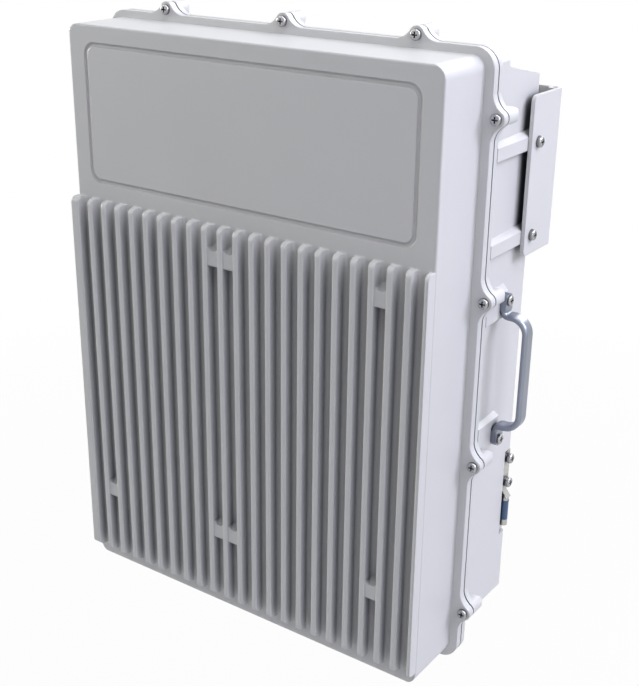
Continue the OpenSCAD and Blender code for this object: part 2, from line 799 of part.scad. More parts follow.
// Ribs that carry the bracket, and pads that carry a handle
module side_pads() {
    for (z = bracket_screw_zs)
        translate([0, 0, z]) along_y(shelf_y - lap, rear_y - 2 * rear_edge_r) rib_section();
    for (end = [0, 1])
        mirror([0, 0, end])
            along_y(shelf_y - lap, handle_pad_y) pad_section(handle_pad_low_zs[end], end * handle_pad_edge);
}

// Low upright ribs on the housing's rear, below the bracket
module rear_ribs() {
    low_z = floor_z + 2 * floor_edge_r;
    high_z = bracket_low_z - 2 * floor_edge_r;
    count = 5;
    for (i = [0 : count - 1])
        translate([(i - (count - 1) / 2) * housing_rear_w / (count + 1), 0, 0])
            along_y(rear_y - lap, rear_y + rear_rib_h)
                translate([0, (low_z + high_z) / 2])
                    rounded_rect(rear_rib_w, high_z - low_z, rear_rib_w / 2 - lap);
}

// Pocket for the ground lug, open to the side and the rear
module lug_pocket() {
    translate([pocket_x, pocket_front_y, pocket_top_z - pocket_h])
        cube([housing_w, housing_depth, pocket_h]);
}

// Metal behind the pocket that takes the ground bolts
module ground_boss() {
    translate([pocket_x - ground_boss_in, pocket_front_y - wall, pocket_top_z - pocket_h - wall])
        cube([ground_boss_in + wall / 2, pocket_reach + wall - rear_edge_r, pocket_h + 2 * wall]);
}

// Holes that the entries pass through
module entry_holes() {
    for (x = connector_xs)
        translate([x, entry_back, floor_z - lap]) {
            cylinder(d = connector_d + hole_play, h = wall + 2 * lap);
            at_connector_screws() cylinder(d = connector_screw_d + thread_play, h = connector_tapped);
        }
    translate([gland_x, entry_back, floor_z - lap]) cylinder(d = gland_d + hole_play, h = wall + 2 * lap);
    translate([-gland_x, entry_back, floor_z - lap]) cylinder(d = breather_d + hole_play, h = wall + 2 * lap);
}

// Threaded holes in the housing's rear wall for the inner modules
module module_holes() {
    at_filter_screws() facing_rear() translate([0, 0, -lap]) cylinder(r = inner_tapped_r, h = inner_grip + lap);
    at_supply_screws() facing_rear() translate([0, 0, -lap]) cylinder(r = inner_tapped_r, h = inner_grip + lap);
}

// Cast rear housing: open box with flange, bosses, ribs, pads and a pocket for the ground lug
module rear_housing() {
    color(paint) in_case() difference() {
        union() {
            difference() {
                union() {
                    along_y(seal_t, shelf_y) flange_outline(0);
                    housing_form(0, seal_t);
                    bosses();
                    both_sides() side_pads();
                    rear_ribs();
                }
                housing_form(wall, seal_t - lap);
            }
            ground_boss();
        }
        lug_pocket();
        at_ears(seal_t - lap) facing_rear() cylinder(r = tapped_r, h = rear_flange_t + drill_depth + lap);
        both_sides() {
            for (z = bracket_screw_zs)
                translate([rib_x + lap, bracket_screw_y, z])
                    rotate([0, -90, 0]) cylinder(r = tapped_r, h = thread_depth + lap);
            for (z = handle_screw_zs)
                translate([handle_pad_x + lap, handle_back, z])
                    rotate([0, -90, 0]) cylinder(r = tapped_r, h = thread_depth + lap);
        }
        for (z = lug_bolt_zs)
            translate([pocket_x + lap, lug_y, z])
                rotate([0, -90, 0]) cylinder(d = lug_bolt_d + thread_play, h = thread_depth + 2 * lap);
        entry_holes();
        module_holes();
    }
}

// Flat seal between the flanges
module cover_seal() {
    color(black) in_case() difference() {
        along_y(0, seal_t) flange_outline(seal_inset);
        along_y(-lap, seal_t + lap) cover_opening();
        at_ears(-lap) facing_rear() cylinder(r = clear_r, h = seal_t + 2 * lap);
    }
}

// Screws through the ears
module cover_screws() {
    color(steel) in_case() at_ears(-flange_t) facing_front()
        pan_screw(screw_d, cover_screw_len, head_d, head_h);
}

// Section of a handle's bar: x across its thickness, y across its width
module bar_section() {
    rounded_rect(handle_t, handle_w, handle_edge_r);
}

// Foot of a handle: a tongue with a round end, drilled for its screw
module handle_foot() {
    difference() {
        translate([0, handle_back, 0])
            along_x(handle_pad_x, handle_pad_x + handle_t) {
                translate([-handle_w / 2, foot_low]) square([handle_w, handle_pitch / 2 - foot_low]);
                translate([0, handle_pitch / 2]) circle(d = handle_w);
            }
        translate([handle_pad_x - lap, handle_back, handle_pitch / 2])
            facing_right() cylinder(r = clear_r, h = handle_t + 2 * lap);
    }
}

// Upper half of a handle: foot, fold, arm, bend and half of the grip
module half_handle() {
    fold_x = foot_x + foot_fold_r;
    bend_x = handle_bar_x - handle_bend_r;
    bend_z = handle_arm_z - handle_bend_r;
    handle_foot();
    translate([0, handle_back, 0]) {
        translate([fold_x, 0, foot_low])
            rotate([90, 0, 0]) rotate(180) rotate_extrude(angle = 90) translate([foot_fold_r, 0]) bar_section();
        translate([fold_x, 0, handle_arm_z]) rotate([0, 90, 0]) linear_extrude(bend_x - fold_x) bar_section();
        translate([bend_x, 0, bend_z])
            rotate([90, 0, 0]) rotate_extrude(angle = 90) translate([handle_bend_r, 0]) bar_section();
        translate([handle_bar_x, 0, 0]) linear_extrude(bend_z) bar_section();
    }
}

// Bow handle bent from flat bar
module bow_handle() {
    half_handle();
    mirror([0, 0, 1]) half_handle();
}

// Handle on the viewer's right
module right_handle() {
    color(satin) in_case() bow_handle();
}

// Handle on the viewer's left
module left_handle() {
    color(satin) in_case() mirror([1, 0, 0]) bow_handle();
}

// Screws of both handles
module handle_screws() {
    color(steel) in_case() both_sides()
        for (z = handle_screw_zs)
            translate([handle_pad_x + handle_t, handle_back, z])
                facing_right()
                    pan_screw(screw_d, handle_t + thread_depth - lap, head_d, head_h * low_head_share);
}

// Plan of the bracket: two side plates and the rear plate, folded from one sheet
module bracket_plan() {
    inner_x = bracket_x - bracket_t;
    inner_y = bracket_back_y - bracket_t;
    outer_r = fold_r + bracket_t;
    rounded_polygon([[inner_x, bracket_front_y], [bracket_x, bracket_front_y], [bracket_x, bracket_back_y],
        [-bracket_x, bracket_back_y], [-bracket_x, bracket_front_y], [-inner_x, bracket_front_y],
        [-inner_x, inner_y], [inner_x, inner_y]],
        [0, 0, outer_r, outer_r, 0, 0, fold_r, fold_r]);
}

// Side view of the bracket: the free corners of the side plates are round
module bracket_side() {
    rounded_polygon([[bracket_front_y, bracket_low_z], [bracket_back_y, bracket_low_z],
        [bracket_back_y, bracket_top_z], [bracket_front_y, bracket_top_z]], [bracket_r, 0, 0, bracket_r]);
}

// Side view of the lip folded forward along the rear plate's top
module lip_side() {
    inner_y = bracket_back_y - bracket_t;
    rounded_polygon([[inner_y - lip_depth, bracket_top_z - bracket_t], [inner_y, bracket_top_z - bracket_t],
        [inner_y, bracket_top_z - 2 * bracket_t], [bracket_back_y, bracket_top_z - 2 * bracket_t],
        [bracket_back_y, bracket_top_z], [inner_y - lip_depth, bracket_top_z]],
        [0, fold_r / 2, 0, 0, bracket_t, 0]);
}

// Folded sheet bracket with holes for the wall bolts
module wall_bracket() {
    lip_half = bracket_x - bracket_t - lip_relief;
    color(paint) in_case() difference() {
        union() {
            intersection() {
                along_z(bracket_low_z, bracket_top_z) bracket_plan();
                along_x(-bracket_x, bracket_x) bracket_side();
            }
            along_x(-lip_half, lip_half) lip_side();
        }
        for (sx = [-1, 1], sz = [-1, 1])
            translate([sx * wall_bolt_x / 2, bracket_back_y + lap, mount_z + sz * wall_bolt_z / 2])
                facing_front() cylinder(d = wall_bolt_d, h = bracket_t + 2 * lap);
        both_sides() for (z = bracket_screw_zs)
            translate([rib_x - lap, bracket_screw_y, z]) facing_right()
                cylinder(r = clear_r, h = bracket_t + 2 * lap);
    }
}

// Washers under the bracket's side screws
module bracket_washers() {
    color(steel) in_case() both_sides()
        for (z = bracket_screw_zs)
            translate([bracket_x, bracket_screw_y, z]) facing_right() ring(washer_d, 2 * clear_r, washer_t);
}

// Side screws of the bracket
module bracket_screws() {
    color(steel) in_case() both_sides()
        for (z = bracket_screw_zs)
            translate([bracket_x + washer_t, bracket_screw_y, z])
                facing_right() pan_screw(screw_d, bracket_t + washer_t + thread_depth - lap, head_d, head_h);
}

// Side view of the lug's neck: x out of the pocket, y up
module lug_neck_side() {
    polygon([[pocket_x, lug_tongue_low], [pocket_x + lug_t, lug_tongue_low],
        [pocket_x + barrel_d, barrel_top_z], [pocket_x, barrel_top_z]]);
}

// Two-hole ground lug with an open barrel for the wire
module ground_lug() {
    color(tin) in_case() difference() {
        union() {
            translate([pocket_x, lug_y - lug_w / 2, lug_tongue_low])
                cube([lug_t, lug_w, lug_bolt_zs[0] + lug_end - lug_tongue_low]);
            translate([0, lug_y + barrel_d / 2, 0])
                rotate([90, 0, 0]) linear_extrude(barrel_d) lug_neck_side();
            translate([barrel_x, lug_y, barrel_top_z - barrel_len]) cylinder(d = barrel_d, h = barrel_len);
        }
        for (z = lug_bolt_zs)
            translate([pocket_x - lap, lug_y, z]) facing_right()
                cylinder(d = lug_bolt_d + hole_play, h = lug_t + 2 * lap);
        translate([barrel_x, lug_y, barrel_top_z - barrel_len - lap])
            cylinder(d = barrel_bore, h = barrel_bore_len);
        translate([barrel_x, lug_y, barrel_peep_z])
            facing_right() cylinder(d = barrel_peep_d, h = barrel_d);
    }
}

// Flat washers on the lug
module ground_flat_washers() {
    color(steel) in_case() for (z = lug_bolt_zs)
        translate([pocket_x + lug_t, lug_y, z]) facing_right()
            ring(lug_washer_d, lug_bolt_d + hole_play, lug_washer_t);
}

// Split spring washers under the bolt heads
module ground_spring_washers() {
    color(steel) in_case() for (z = lug_bolt_zs)
        translate([pocket_x + lug_t + lug_washer_t, lug_y, z]) facing_right() difference() {
            ring(lug_spring_d, lug_bolt_d + hole_play, lug_spring_t);
            translate([0, -lug_spring_split / 2, -lap])
                cube([lug_washer_d, lug_spring_split, lug_spring_t + 2 * lap]);
        }
}

// Bolts that hold the lug
module ground_bolts() {
    color(steel) in_case() for (z = lug_bolt_zs)
        translate([pocket_x + lug_stack, lug_y, z])
            facing_right() pan_screw(lug_bolt_d, lug_stack + thread_depth - lap, lug_head_d, lug_head_h);
}

// Four screws on the flange of a connector
module at_connector_screws() {
    for (sx = [-1, 1], sy = [-1, 1])
        translate([sx * connector_screw_pitch / 2, sy * connector_screw_pitch / 2, 0]) children();
}

// Bodies of the radio connectors, under the floor
module connector_bodies() {
    color(brass) in_case() for (x = connector_xs)
        translate([x, entry_back, floor_z]) difference() {
            union() {
                translate([0, 0, -connector_plate_t]) linear_extrude(connector_plate_t)
                    rounded_rect(connector_flange, connector_flange, connector_plate_t);
                translate([0, 0, -connector_len]) cylinder(d = connector_d, h = connector_len + spigot);
            }
            translate([0, 0, -connector_len - lap]) cylinder(d = connector_bore, h = connector_len + lap);
            at_connector_screws() translate([0, 0, -connector_plate_t - lap])
                cylinder(d = connector_screw_d + hole_play, h = connector_plate_t + 2 * lap);
        }
}

// Insulator and contact inside each connector
module connector_inserts() {
    color("white") in_case() for (x = connector_xs)
        translate([x, entry_back, floor_z]) {
            translate([0, 0, -connector_len / 2]) cylinder(d = connector_bore, h = connector_len / 2);
            translate([0, 0, -pin_reach]) cylinder(d = pin_d, h = connector_len / 2);
        }
}

// Screws on the connectors' flanges
module connector_screws() {
    color(steel) in_case() for (x = connector_xs)
        translate([x, entry_back, floor_z - connector_plate_t]) at_connector_screws()
            mirror([0, 0, 1]) plain_screw(connector_screw_d, connector_plate_t + connector_screw_grip);
}

// Body of the cable gland: neck through the floor, six-sided collar, lower thread
module gland_body() {
    color(black) in_case() translate([gland_x, entry_back, floor_z]) difference() {
        union() {
            cylinder(d = gland_d, h = wall + gland_inside);
            translate([0, 0, -gland_hex_t]) cylinder(d = gland_hex_d, h = gland_hex_t, $fn = 6);
            translate([0, 0, -gland_hex_t - gland_neck_len]) cylinder(d = gland_d, h = gland_neck_len + lap);
        }
        translate([0, 0, -gland_hex_t - gland_neck_len - lap])
            cylinder(d = gland_d - 2 * gland_wall,
                h = gland_hex_t + gland_neck_len + gland_inside + wall + 2 * lap);
    }
}

// Rubber ring that grips the cable
module gland_ring() {
    color([0.2, 0.2, 0.2]) in_case()
        translate([gland_x, entry_back, floor_z - gland_hex_t - gland_neck_len])
            ring(gland_d - 2 * gland_wall - thread_play, gland_bore, gland_neck_len);
}

// Dome nut that closes the gland
module gland_nut() {
    low = gland_nut_len - gland_nut_grip;
    color(black) in_case()
        translate([gland_x, entry_back, floor_z - gland_hex_t - gland_neck_len - low])
            difference() {
                cylinder(d = gland_hex_d, h = gland_nut_len, $fn = 6);
                translate([0, 0, low]) cylinder(d = gland_d + thread_play, h = gland_nut_len);
                translate([0, 0, -lap]) cylinder(d = gland_bore, h = gland_nut_len);
            }
}

// Breather that evens out the pressure inside
module breather_plug() {
    color(black) in_case() translate([-gland_x, entry_back, floor_z]) {
        cylinder(d = breather_d, h = wall + breather_cap_t);
        mirror([0, 0, 1]) rounded_plug(breather_d, breather_cap_t, breather_cap_t / 3);
    }
}

// Power amplifier block on the inside of the finned face
module power_amplifier() {
    color(milled) in_case() difference() {
        translate([0, 0, amp_z]) along_y(inner_face_y + pad_t, amp_front_y)
            rounded_rect(amp_w, amp_h, tab_w / 2);
        at_amplifier_screws(inner_face_y) facing_rear() cylinder(r = inner_clear_r, h = amp_t + pad_t + lap);
    }
}

// Soft sheet that carries heat from the amplifier to the cover
module thermal_pad() {
    color([0.55, 0.62, 0.68]) in_case() difference() {
        translate([0, 0, amp_z]) along_y(inner_face_y, inner_face_y + pad_t)
            rounded_rect(amp_w, amp_h, tab_w / 2);
        at_amplifier_screws(inner_face_y - lap) facing_rear() cylinder(r = inner_clear_r, h = pad_t + 2 * lap);
    }
}

// Screws of the amplifier
module amplifier_screws() {
    color(steel) in_case() at_amplifier_screws(amp_front_y)
        facing_rear() plain_screw(inner_screw_d, amp_t + pad_t + inner_grip);
}

// Places of the filter's screws, on tabs at both sides
module at_filter_screws() {
    for (sx = [-1, 1], sz = [-1, 1])
        translate([filter_x + sx * (filter_w / 2 + tab_w / 2), inner_rear_y, bay_z + sz * filter_h / 3])
            children();
}

// Places of the supply's screws, on tabs at both sides
module at_supply_screws() {
    for (sx = [-1, 1], sz = [-1, 1])
        translate([supply_x + sx * (supply_w / 2 + tab_w / 2), inner_rear_y, bay_z + sz * filter_h / 3])
            children();
}

// Box on the housing's rear wall with tabs at both sides
module tabbed_box(x, w, t) {
    translate([x, 0, bay_z]) {
        along_y(inner_rear_y - t, inner_rear_y) rounded_rect(w, filter_h, tab_w / 4);
        along_y(inner_rear_y - tab_t, inner_rear_y) rounded_rect(w + 2 * tab_w, filter_h, tab_w / 4);
    }
}

// Cavity filter: a milled block with rows of round cavities
module cavity_filter() {
    columns = 4;
    rows = 3;
    cell_x = (filter_w - 2 * wall) / columns;
    cell_z = (filter_h - 2 * wall) / rows;
    color(milled) in_case() difference() {
        tabbed_box(filter_x, filter_w, filter_t);
        for (i = [0 : columns - 1], k = [0 : rows - 1])
            translate([filter_x + (i - (columns - 1) / 2) * cell_x, filter_y - lap,
                bay_z + (k - (rows - 1) / 2) * cell_z])
                facing_rear() cylinder(d = min(cell_x, cell_z) - wall, h = filter_t - wall);
        at_filter_screws() facing_front() translate([0, 0, -lap])
            cylinder(r = inner_clear_r, h = tab_t + 2 * lap);
    }
}

// Lid of the filter
module filter_lid() {
    color(milled) in_case() difference() {
        translate([filter_x, 0, bay_z]) along_y(filter_y - lid_t, filter_y)
            rounded_rect(filter_w, filter_h, tab_w / 4);
        at_tuning_screws(filter_y - lid_t - lap) facing_rear()
            cylinder(r = inner_tapped_r, h = lid_t + 2 * lap);
    }
}

// Places of the tuning screws, one over each cavity
module at_tuning_screws(y) {
    columns = 4;
    rows = 3;
    for (i = [0 : columns - 1], k = [0 : rows - 1])
        translate([filter_x + (i - (columns - 1) / 2) * (filter_w - 2 * wall) / columns, y,
            bay_z + (k - (rows - 1) / 2) * (filter_h - 2 * wall) / rows]) children();
}

// Tuning screws of the filter
module tuning_screws() {
    color(brass) in_case() at_tuning_screws(filter_y - lid_t)
        facing_front() plain_screw(inner_screw_d, filter_t / 3);
}

// Screws of the filter
module filter_screws() {
    color(steel) in_case() at_filter_screws() translate([0, -tab_t, 0])
        facing_front() plain_screw(inner_screw_d, tab_t + inner_grip);
}

// Power supply: an open tray with tabs
module power_supply() {
    color(milled) in_case() difference() {
        tabbed_box(supply_x, supply_w, supply_t);
        translate([supply_x, 0, bay_z]) along_y(supply_y - lap, inner_rear_y - wall)
            rounded_rect(supply_w - wall, filter_h - wall, tab_w / 4);
        at_supply_screws() facing_front() translate([0, 0, -lap])
            cylinder(r = inner_clear_r, h = tab_t + 2 * lap);
    }
}

// Cover of the power supply
module supply_cover() {
    color(tin) in_case() translate([supply_x, 0, bay_z])
        along_y(supply_y - lid_t, supply_y) rounded_rect(supply_w, filter_h, tab_w / 4);
}

// Screws of the power supply
module supply_screws() {
    color(steel) in_case() at_supply_screws() translate([0, -tab_t, 0])
        facing_front() plain_screw(inner_screw_d, tab_t + inner_grip);
}

// Places of the board's standoffs
module at_standoffs(y) {
    for (sx = [-1, 0, 1], sz = [-1, 1])
        translate([sx * (board_w / 2 - board_edge), y, board_z + sz * (board_h / 2 - board_edge)]) children();
}

// Main circuit board
module main_board() {
    color(green) in_case() difference() {
        translate([0, 0, board_z]) along_y(board_y, board_y + board_t)
            rounded_rect(board_w, board_h, board_edge / 2);
        at_standoffs(board_y - lap) facing_rear() cylinder(r = inner_clear_r, h = board_t + 2 * lap);
    }
}

// Six-sided standoffs between the board and the rear wall
module board_standoffs() {
    color(brass) in_case() at_standoffs(board_y + board_t) facing_rear() difference() {
        cylinder(d = standoff_d, h = standoff_len, $fn = 6);
        translate([0, 0, -lap]) cylinder(r = inner_tapped_r, h = standoff_tapped);
    }
}

// Screws of the board
module board_screws() {
    color(steel) in_case() at_standoffs(board_y)
        facing_front() plain_screw(inner_screw_d, board_t + standoff_len / 2);
}

// Two shield cans on the board
module shield_cans() {
    color(tin) in_case() for (side = [-1, 1])
        translate([side * board_w / 4, 0, board_z]) difference() {
            along_y(board_y - can_t, board_y) rounded_rect(can_w, can_h, board_t);
            along_y(board_y - can_t + can_wall, board_y + lap)
                rounded_rect(can_w - 2 * can_wall, can_h - 2 * can_wall, board_t / 2);
        }
}

front_cover();
rear_housing();
cover_seal();
cover_screws();
right_handle();
left_handle();
handle_screws();
wall_bracket();
bracket_screws();
bracket_washers();
ground_lug();
ground_bolts();
ground_spring_washers();
ground_flat_washers();
connector_bodies();
connector_inserts();
connector_screws();
gland_body();
gland_ring();
gland_nut();
breather_plug();
power_amplifier();
thermal_pad();
amplifier_screws();
cavity_filter();
filter_lid();
tuning_screws();
filter_screws();
main_board();
board_standoffs();
board_screws();
shield_cans();
power_supply();
supply_cover();
supply_screws();
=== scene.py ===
# %% [markdown]
# # A finned outdoor enclosure, dressed for the camera
#
# The part is a radio enclosure that hangs on a wall: a cast cover with cooling fins, a cast housing behind
# it, a folded bracket, two bow handles and a ground lug. Its shapes are already finished in CAD, so nothing
# is modelled a second time here. This lesson gives every node a procedural surface, builds a plain studio
# and stands a camera where the photograph was taken from.

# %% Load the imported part
import bpy
from mathutils import Matrix, Vector

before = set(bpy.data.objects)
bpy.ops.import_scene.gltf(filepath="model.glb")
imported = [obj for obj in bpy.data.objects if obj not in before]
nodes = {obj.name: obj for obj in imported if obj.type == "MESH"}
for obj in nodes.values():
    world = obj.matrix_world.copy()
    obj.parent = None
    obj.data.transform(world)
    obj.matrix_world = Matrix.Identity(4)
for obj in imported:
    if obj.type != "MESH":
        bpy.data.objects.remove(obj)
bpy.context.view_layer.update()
print("nodes in the frame:", len(nodes))

# %% [markdown]
# ## The camera
#
# A camera can be placed by eye, but then no edge falls quite where the photograph has it. Here the place and
# the three axes come from a least-squares fit of a pinhole camera to the fins, the cover's edges and the
# flange. The picture is upright, so the 36 mm sensor lies along its 686 pixel height.

# %% Stand the camera where the photograph was taken
IMAGE_H = 686
FOCAL_PX = 1182.73
SENSOR_MM = 36.0
CAMERA_AT = (0.534511, -0.821482, 0.208706)
CAMERA_RIGHT = Vector((0.817421, 0.575917, 0.011919))
CAMERA_UP = Vector((-0.224908, 0.300036, 0.927035))
CAMERA_BACK = Vector((0.530319, -0.760459, 0.374784))

cam_data = bpy.data.cameras.new("photo_camera")
cam_data.sensor_width = SENSOR_MM
cam_data.lens = FOCAL_PX * SENSOR_MM / IMAGE_H
cam = bpy.data.objects.new("photo_camera", cam_data)
bpy.context.scene.collection.objects.link(cam)
turn = Matrix((CAMERA_RIGHT, CAMERA_UP, CAMERA_BACK)).transposed().to_4x4()
cam.matrix_world = Matrix.Translation(CAMERA_AT) @ turn
bpy.context.scene.camera = cam
bpy.context.scene.view_settings.view_transform = "Standard"
print("lens", round(cam_data.lens, 2), "mm")

# %% [markdown]
# ## Nodes and wires
#
# A shader is a small network. Written out in full, each node takes three or four lines, and the idea drowns
# in them. Three helpers keep it readable: `feed` gives a socket a wire or a plain value, `add` makes a node
# and feeds its sockets by name, and `calc` makes one sum.

# %% Helpers for single nodes
def feed(tree, socket, value):
    if isinstance(value, bpy.types.NodeSocket):
        tree.links.new(value, socket)
    else:
        socket.default_value = value


def add(tree, kind, **sockets):
    made = tree.nodes.new(kind)
    for name, value in sockets.items():
        feed(tree, made.inputs[name.replace("_", " ")], value)
    return made


def calc(tree, operation, first, second=0.0):
    made = tree.nodes.new("ShaderNodeMath")
    made.operation = operation
    for socket, value in zip(made.inputs, (first, second)):
        feed(tree, socket, value)
    return made.outputs["Value"]


print("single node helpers:", feed.__name__, add.__name__, calc.__name__)

# %% [markdown]
# Three more steps come back in nearly every surface: a blend of two colours, a value stretched from one range
# to another, and a point's own place on the part. A Mix node has sockets of the same name for numbers, vectors
# and colours, so its colour sockets are picked by their place in the list.

# %% Helpers for blends, ranges and places
MIX_SHARE, MIX_FIRST, MIX_SECOND, MIX_RESULT = 0, 6, 7, 2


def mix_colour(tree, share, first, second):
    made = tree.nodes.new("ShaderNodeMix")
    made.data_type = "RGBA"
    feed(tree, made.inputs[MIX_SHARE], share)
    feed(tree, made.inputs[MIX_FIRST], first)
    feed(tree, made.inputs[MIX_SECOND], second)
    return made.outputs[MIX_RESULT]


def stretch_value(tree, value, **ends):
    return add(tree, "ShaderNodeMapRange", Value=value, **ends).outputs["Result"]


def own_place(tree):
    place = tree.nodes.new("ShaderNodeTexCoord")
    return add(tree, "ShaderNodeSeparateXYZ", Vector=place.outputs["Object"]).outputs


print("blend helpers:", mix_colour.__name__, stretch_value.__name__, own_place.__name__)

# %% [markdown]
# ## Materials and shared effects
#
# A material holds one Principled shader. An effect that several materials share is a node group: it is built
# once, with named inputs and outputs, and each material places it with its own values.

# %% Helpers for materials and shared effects
NUMBER, TRIPLE = "NodeSocketFloat", "NodeSocketVector"


def new_material(name):
    material = bpy.data.materials.new(name)
    material.use_nodes = True
    tree = material.node_tree
    tree.nodes.clear()
    shader = tree.nodes.new("ShaderNodeBsdfPrincipled")
    add(tree, "ShaderNodeOutputMaterial", Surface=shader.outputs["BSDF"])
    return material, tree, shader


def new_effect(name, inputs, outputs):
    group = bpy.data.node_groups.new(name, "ShaderNodeTree")
    for socket, kind in inputs.items():
        group.interface.new_socket(socket, in_out="INPUT", socket_type=kind)
    for socket in outputs:
        group.interface.new_socket(socket, in_out="OUTPUT", socket_type=NUMBER)
    given = group.nodes.new("NodeGroupInput").outputs
    result = group.nodes.new("NodeGroupOutput").inputs
    return group, given, result


def place_effect(tree, group, **values):
    made = tree.nodes.new("ShaderNodeGroup")
    made.node_tree = group
    for name, value in values.items():
        feed(tree, made.inputs[name], value)
    return made.outputs


print("material helpers:", new_material.__name__, new_effect.__name__, place_effect.__name__)

# %% [markdown]
# ## Grain and cloud
#
# A powder coat is never quite flat: it has a fine pebble grain and a faint cloudiness. Bare metal shows the
# lines of its drawing or milling. A photo texture would give both, but it stretches on a casting's many faces.
# Noise in the object's own space needs no unwrapping: a fine one for the grain, pulled out along the height
# for metal, and a broad one for the cloud.

# %% Make the grain effect
GRAIN_DETAIL, CLOUD_DETAIL = 2.0, 3.0
PEBBLE = {"Fineness": 1400.0, "Breadth": 14.0, "Stretch": (1, 1, 1)}
DRAWN = {"Fineness": 900.0, "Breadth": 30.0, "Stretch": (1, 1, 0.05)}

grain_and_cloud, given, result = new_effect(
    "grain_and_cloud", {"Fineness": NUMBER, "Breadth": NUMBER, "Stretch": TRIPLE}, ("Grain", "Cloud"))
place = grain_and_cloud.nodes.new("ShaderNodeTexCoord").outputs["Object"]
pulled = add(grain_and_cloud, "ShaderNodeMapping", Vector=place, Scale=given["Stretch"])
grain = add(grain_and_cloud, "ShaderNodeTexNoise", Vector=pulled.outputs["Vector"],
            Scale=given["Fineness"], Detail=GRAIN_DETAIL)
cloud = add(grain_and_cloud, "ShaderNodeTexNoise", Vector=place,
            Scale=given["Breadth"], Detail=CLOUD_DETAIL)
feed(grain_and_cloud, result["Grain"], grain.outputs["Fac"])
feed(grain_and_cloud, result["Cloud"], cloud.outputs["Fac"])
print("grain effect with", len(grain_and_cloud.nodes), "nodes")

# %% [markdown]
# ## Painted shade in nooks
#
# The channels between the fins, the corners of the ribs and the crosses in the screw heads lie in shade, and
# the photograph shows them darker than soft lamps alone would, so shade is painted into their colour. Painting
# them by hand would break when a size changes. Ambient occlusion measures how closed in each point is, so the
# painted shade follows the shape. The input `Clear` keeps the painted shade off where a material asks for
# that.

# %% Make the painted shade effect
OCCLUSION_SAMPLES = 8
# Painted shade settings for corners and for screw crosses: how far the occlusion looks, and where the shade is
# full or gone.
CORNER_PAINTED_SHADE = {"Reach": 0.02, "Closed": 0.13, "Bare": 0.60}
CROSS_PAINTED_SHADE = {"Reach": 0.004, "Closed": 0.25, "Bare": 0.97}

# Painted shade: ambient occlusion becomes a share, 0 where the colour is fully shaded and 1 where it is open.
painted_nook_shade, given, result = new_effect(
    "painted_nook_shade", {"Reach": NUMBER, "Closed": NUMBER, "Bare": NUMBER, "Clear": NUMBER}, ("Open",))
near = add(painted_nook_shade, "ShaderNodeAmbientOcclusion", Distance=given["Reach"])
near.samples = OCCLUSION_SAMPLES
free = stretch_value(painted_nook_shade, near.outputs["AO"], From_Min=given["Closed"], From_Max=given["Bare"])
feed(painted_nook_shade, result["Open"], calc(painted_nook_shade, "MAXIMUM", free, given["Clear"]))
print("nook effect with", len(painted_nook_shade.nodes), "nodes")

# %% [markdown]
# ## The fin field
#
# On the cover only the channels get the painted shade, and the plain field above and the flange behind stay
# free of it. A second material could mark them, but the cover is one casting with one coat. So a mask tells
# where the fins aren't: behind one depth, or above the height where the channels run out.

# %% Mask what lies outside the fin field
FIN_FIELD_Y = -0.125
FIN_SHADE_FULL_Z, FIN_SHADE_NONE_Z = -0.085, -0.045


# Mask that keeps the painted shade off the cover outside the fin channels.
def outside_fins(tree):
    place = own_place(tree)
    behind = calc(tree, "GREATER_THAN", place["Y"], FIN_FIELD_Y)
    above = stretch_value(tree, place["Z"], From_Min=FIN_SHADE_FULL_Z, From_Max=FIN_SHADE_NONE_Z)
    return calc(tree, "MAXIMUM", behind, above)


print("shade fades over", round((FIN_SHADE_NONE_Z - FIN_SHADE_FULL_Z) * 1000), "mm of height")

# %% [markdown]
# ## The engraved line
#
# A shallow line runs round the plain field of the cover. Its groove is in the CAD solid, with a flat bed. The
# real one has soft lips, so one side of it catches the light and the other lies in shade. A finer mesh could
# round the lips, but the CAD mesh stays as it is. So a V-shaped bump lies over the groove and its lips, and
# its height is the distance to the middle of the line, a rounded rectangle.

# %% Work out the engraved line's height
FIELD_W, FIELD_H, FIELD_R = 0.301, 0.1074, 0.009
FIELD_Z = 0.0247
LINE_W = 0.0044
FACE_Y = -0.158


def line_height(tree):
    place = own_place(tree)
    side = calc(tree, "ABSOLUTE", place["X"])
    rise = calc(tree, "ABSOLUTE", calc(tree, "SUBTRACT", place["Z"], FIELD_Z))
    side = calc(tree, "SUBTRACT", side, FIELD_W / 2 - FIELD_R)
    rise = calc(tree, "SUBTRACT", rise, FIELD_H / 2 - FIELD_R)
    side_out = calc(tree, "POWER", calc(tree, "MAXIMUM", side, 0.0), 2.0)
    rise_out = calc(tree, "POWER", calc(tree, "MAXIMUM", rise, 0.0), 2.0)
    outside = calc(tree, "SQRT", calc(tree, "ADD", side_out, rise_out))
    inside = calc(tree, "MINIMUM", calc(tree, "MAXIMUM", side, rise), 0.0)
    far = calc(tree, "SUBTRACT", calc(tree, "ADD", outside, inside), FIELD_R)
    bed = calc(tree, "MINIMUM", calc(tree, "ABSOLUTE", far), LINE_W / 2)
    on_face = calc(tree, "LESS_THAN", place["Y"], FACE_Y)
    return calc(tree, "MULTIPLY", bed, on_face)


print("engraved line", round(LINE_W * 1000, 1), "mm wide with its lips")

# %% [markdown]
# ## Soft edges and grain in the light
#
# No real edge is knife sharp. A bevel modifier would change the CAD mesh, so the Bevel node rounds the edges
# in the light only. The bumps of the engraved line and of the grain lie on top of it.

# %% Build a relief
BEVEL_SAMPLES = 6
GRAIN_HEIGHT = 0.0002
LINE_STRENGTH = 0.45


